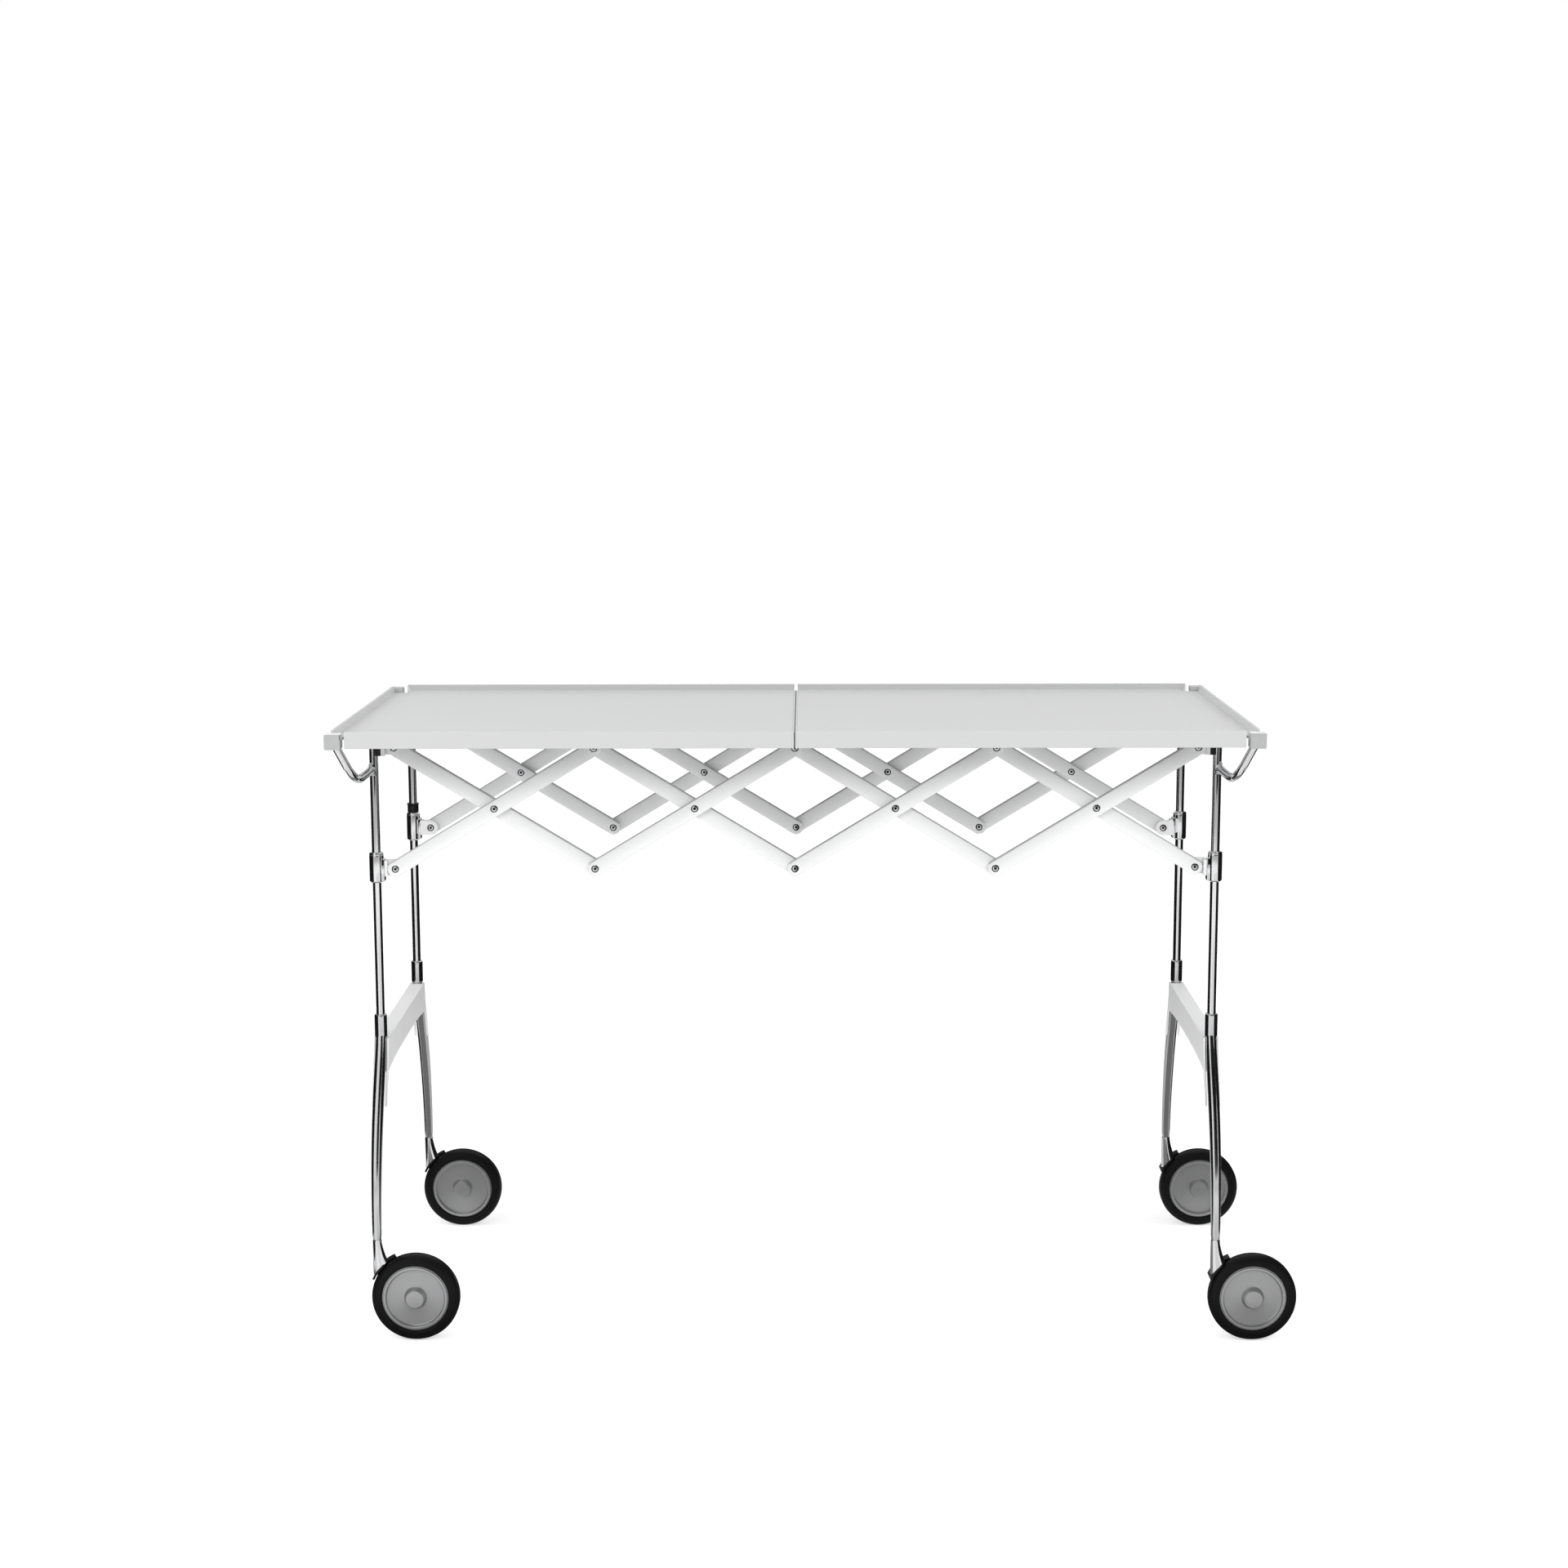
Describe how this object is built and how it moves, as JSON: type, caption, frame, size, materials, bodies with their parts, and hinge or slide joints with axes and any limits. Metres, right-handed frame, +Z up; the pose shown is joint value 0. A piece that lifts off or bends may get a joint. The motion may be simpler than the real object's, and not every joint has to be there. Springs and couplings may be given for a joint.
{
  "type": "folding service table",
  "caption": "Folding service table on casters: a tray top in hinged halves on crossed-bar lattices that close like scissors between end frames.",
  "frame": {"origin": "on the floor, under the middle of the part's outline with all four wheels trailing towards +X; the table's own middle is at X = -0.02775", "axes": "+X along the table towards its right end, +Y from front to back, +Z up"},
  "size_m": [1.111, 0.472, 0.72],
  "materials": {
    "tray_plastic": "smooth light grey",
    "block_metal": "satin grey",
    "white_plastic": "smooth white",
    "bar_plastic": "smooth white",
    "chrome": "polished",
    "cast_metal": "polished",
    "screw_steel": "satin",
    "black_plastic": "black",
    "hub_plastic": "grey",
    "tyre": "black rubber"
  },
  "bodies": {
    "left_frame": {"left_front_leg_rod": "chrome", "left_rear_leg_rod": "chrome", "left_front_lower_leg": "cast_metal", "left_rear_lower_leg": "cast_metal", "left_cross_piece": "white_plastic", "left_corner_blocks": "block_metal", "left_leg_heads": "white_plastic", "stop_collar": "black_plastic"},
    "right_frame": {"right_front_leg_rod": "chrome", "right_rear_leg_rod": "chrome", "right_front_lower_leg": "cast_metal", "right_rear_lower_leg": "cast_metal", "right_cross_piece": "white_plastic", "right_corner_blocks": "block_metal", "right_leg_heads": "white_plastic"},
    "left_tray_half": {"left_tray": "tray_plastic"},
    "right_tray_half": {"right_tray": "tray_plastic"},
    "falling_1": {"front_falling_bar_1": "bar_plastic", "rear_falling_bar_1": "bar_plastic", "falling_bar_1_screws": "screw_steel"},
    "falling_2": {"front_falling_bar_2": "bar_plastic", "rear_falling_bar_2": "bar_plastic"},
    "falling_3": {"front_falling_bar_3": "bar_plastic", "rear_falling_bar_3": "bar_plastic"},
    "falling_4": {"front_falling_bar_4": "bar_plastic", "rear_falling_bar_4": "bar_plastic", "falling_bar_4_screws": "screw_steel"},
    "rising_1": {"front_rising_bar_1": "bar_plastic", "rear_rising_bar_1": "bar_plastic", "rising_bar_1_screws": "screw_steel"},
    "rising_2": {"front_rising_bar_2": "bar_plastic", "rear_rising_bar_2": "bar_plastic", "rising_bar_2_screws": "screw_steel"},
    "rising_3": {"front_rising_bar_3": "bar_plastic", "rear_rising_bar_3": "bar_plastic", "rising_bar_3_screws": "screw_steel"},
    "rising_4": {"front_rising_bar_4": "bar_plastic", "rear_rising_bar_4": "bar_plastic", "rising_bar_4_screws": "screw_steel"},
    "left_slider": {"left_sleeves": "chrome", "left_sleeve_lugs": "white_plastic"},
    "right_slider": {"right_sleeves": "chrome", "right_sleeve_lugs": "white_plastic"},
    "left_front_swivel": {"left_front_caster_neck": "chrome", "left_front_caster_arm": "black_plastic"},
    "left_front_wheel": {"left_front_wheel_hub": "hub_plastic", "left_front_tyre": "tyre"},
    "left_rear_swivel": {"left_rear_caster_neck": "chrome", "left_rear_caster_arm": "black_plastic"},
    "left_rear_wheel": {"left_rear_wheel_hub": "hub_plastic", "left_rear_tyre": "tyre"},
    "right_front_swivel": {"right_front_caster_neck": "chrome", "right_front_caster_arm": "black_plastic"},
    "right_front_wheel": {"right_front_wheel_hub": "hub_plastic", "right_front_tyre": "tyre"},
    "right_rear_swivel": {"right_rear_caster_neck": "chrome", "right_rear_caster_arm": "black_plastic"},
    "right_rear_wheel": {"right_rear_wheel_hub": "hub_plastic", "right_rear_tyre": "tyre"}
  },
  "joints": [
    {"name": "fold", "type": "hinge", "parent": "left_frame", "child": "falling_1", "pos_m": [-0.49275, 0, 0.6895], "axis": [0, 1, 0], "range_deg": [0, 50]},
    {"name": "middle_pivot_1", "type": "hinge", "parent": "falling_1", "child": "rising_1", "pos_m": [-0.3765, 0, 0.61875], "axis": [0, 1, 0], "range_deg": [-100, 0]},
    {"name": "upper_pivot_1", "type": "hinge", "parent": "rising_1", "child": "falling_2", "pos_m": [-0.26025, 0, 0.6895], "axis": [0, 1, 0], "range_deg": [0, 100]},
    {"name": "middle_pivot_2", "type": "hinge", "parent": "falling_2", "child": "rising_2", "pos_m": [-0.144, 0, 0.61875], "axis": [0, 1, 0], "range_deg": [-100, 0]},
    {"name": "upper_pivot_2", "type": "hinge", "parent": "rising_2", "child": "falling_3", "pos_m": [-0.02775, 0, 0.6895], "axis": [0, 1, 0], "range_deg": [0, 100]},
    {"name": "middle_pivot_3", "type": "hinge", "parent": "falling_3", "child": "rising_3", "pos_m": [0.0885, 0, 0.61875], "axis": [0, 1, 0], "range_deg": [-100, 0]},
    {"name": "upper_pivot_3", "type": "hinge", "parent": "rising_3", "child": "falling_4", "pos_m": [0.20475, 0, 0.6895], "axis": [0, 1, 0], "range_deg": [0, 100]},
    {"name": "middle_pivot_4", "type": "hinge", "parent": "falling_4", "child": "rising_4", "pos_m": [0.321, 0, 0.61875], "axis": [0, 1, 0], "range_deg": [-100, 0]},
    {"name": "right_head_pivot", "type": "hinge", "parent": "rising_4", "child": "right_frame", "pos_m": [0.43725, 0, 0.6895], "axis": [0, 1, 0], "range_deg": [0, 50]},
    {"name": "left_sleeve_pivot", "type": "hinge", "parent": "rising_1", "child": "left_slider", "pos_m": [-0.49275, 0, 0.548], "axis": [0, 1, 0], "range_deg": [0, 50]},
    {"name": "right_sleeve_pivot", "type": "hinge", "parent": "falling_4", "child": "right_slider", "pos_m": [0.43725, 0, 0.548], "axis": [0, 1, 0], "range_deg": [-50, 0]},
    {"name": "left_tray_hinge", "type": "hinge", "parent": "left_frame", "child": "left_tray_half", "pos_m": [-0.54655, 0, 0.7085], "axis": [0, -1, 0], "range_deg": [0, 270]},
    {"name": "right_tray_hinge", "type": "hinge", "parent": "right_frame", "child": "right_tray_half", "pos_m": [0.49105, 0, 0.7085], "axis": [0, 1, 0], "range_deg": [0, 270]},
    {"name": "left_front_swivel_turn", "type": "hinge", "parent": "left_frame", "child": "left_front_swivel", "pos_m": [-0.51575, -0.208, 0.12], "axis": [0, 0, 1], "continuous": true},
    {"name": "left_front_wheel_spin", "type": "hinge", "parent": "left_front_swivel", "child": "left_front_wheel", "pos_m": [-0.47175, -0.208, 0.0513], "axis": [0, 1, 0], "continuous": true},
    {"name": "left_rear_swivel_turn", "type": "hinge", "parent": "left_frame", "child": "left_rear_swivel", "pos_m": [-0.51575, 0.208, 0.12], "axis": [0, 0, 1], "continuous": true},
    {"name": "left_rear_wheel_spin", "type": "hinge", "parent": "left_rear_swivel", "child": "left_rear_wheel", "pos_m": [-0.47175, 0.208, 0.0513], "axis": [0, 1, 0], "continuous": true},
    {"name": "right_front_swivel_turn", "type": "hinge", "parent": "right_frame", "child": "right_front_swivel", "pos_m": [0.46025, -0.208, 0.12], "axis": [0, 0, 1], "continuous": true},
    {"name": "right_front_wheel_spin", "type": "hinge", "parent": "right_front_swivel", "child": "right_front_wheel", "pos_m": [0.50425, -0.208, 0.0513], "axis": [0, 1, 0], "continuous": true},
    {"name": "right_rear_swivel_turn", "type": "hinge", "parent": "right_frame", "child": "right_rear_swivel", "pos_m": [0.46025, 0.208, 0.12], "axis": [0, 0, 1], "continuous": true},
    {"name": "right_rear_wheel_spin", "type": "hinge", "parent": "right_rear_swivel", "child": "right_rear_wheel", "pos_m": [0.50425, 0.208, 0.0513], "axis": [0, 1, 0], "continuous": true}
  ],
  "couplings": [
    {"joint": "middle_pivot_1", "follows": "fold", "ratio": -2},
    {"joint": "upper_pivot_1", "follows": "fold", "ratio": 2},
    {"joint": "middle_pivot_2", "follows": "fold", "ratio": -2},
    {"joint": "upper_pivot_2", "follows": "fold", "ratio": 2},
    {"joint": "middle_pivot_3", "follows": "fold", "ratio": -2},
    {"joint": "upper_pivot_3", "follows": "fold", "ratio": 2},
    {"joint": "middle_pivot_4", "follows": "fold", "ratio": -2},
    {"joint": "right_head_pivot", "follows": "fold", "ratio": 1},
    {"joint": "left_sleeve_pivot", "follows": "fold", "ratio": 1},
    {"joint": "right_sleeve_pivot", "follows": "fold", "ratio": -1},
    {"joint": "left_tray_hinge", "follows": "fold", "ratio": 5.4},
    {"joint": "right_tray_hinge", "follows": "fold", "ratio": 5.4}
  ]
}
